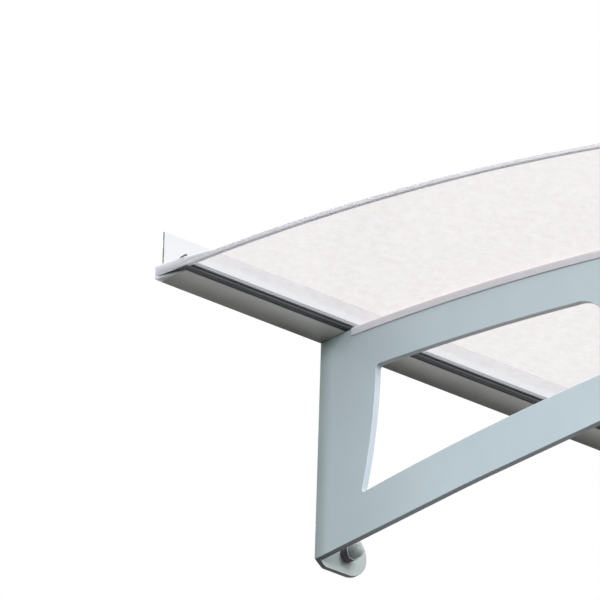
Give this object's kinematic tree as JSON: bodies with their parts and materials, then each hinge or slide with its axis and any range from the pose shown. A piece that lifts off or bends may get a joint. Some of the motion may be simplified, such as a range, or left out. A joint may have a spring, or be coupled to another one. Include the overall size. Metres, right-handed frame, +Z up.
{
  "type": "door canopy",
  "caption": "Door canopy with a clear curved roof sheet in a wall rail, carried by plate brackets with windows, edged with pale trims and bolted to the wall through ears.",
  "frame": {"origin": "back face of the wall rail, half way along it, at the height of its fixing screws", "axes": "+X along the wall, +Y into the wall, +Z up; the canopy reaches out towards -Y"},
  "size_m": [1.5, 0.9512, 0.38],
  "materials": {
    "rail": "satin anodised",
    "steel": "zinc plated",
    "rubber": "matt black",
    "trim": "pale grey, satin",
    "sheet": "clear, faintly warm, glossy",
    "bracket": "blue grey, satin",
    "strip": "pale grey, satin",
    "collar": "dark grey, matt",
    "cover": "pale grey, satin"
  },
  "bodies": {
    "root": {"wall_rail": "rail", "rail_screw_1": "steel", "rail_screw_2": "steel", "rail_screw_3": "steel", "rail_screw_4": "steel", "rail_lower_gasket": "rubber", "rail_upper_gasket": "rubber", "rail_end_cap_left": "trim", "rail_end_cap_right": "trim", "cap_stop_left": "rubber", "cap_stop_right": "rubber", "roof_sheet": "sheet", "side_trim_left": "trim", "side_trim_right": "trim", "front_trim": "trim", "front_trim_cap_left": "trim", "front_trim_cap_right": "trim", "bracket_left": "bracket", "bracket_right": "bracket", "arm_strip_left": "strip", "arm_strip_right": "strip", "bolt_collar_lower_left": "collar", "bolt_collar_lower_right": "collar", "bolt_collar_upper_left": "collar", "bolt_collar_upper_right": "collar", "bolt_washer_lower_left": "steel", "bolt_washer_lower_right": "steel", "bolt_washer_upper_left": "steel", "bolt_washer_upper_right": "steel", "wall_bolt_lower_left": "steel", "wall_bolt_lower_right": "steel", "wall_bolt_upper_left": "steel", "wall_bolt_upper_right": "steel", "bolt_cover_lower_left": "cover", "bolt_cover_lower_right": "cover", "bolt_cover_upper_left": "cover", "bolt_cover_upper_right": "cover"}
  },
  "joints": []
}
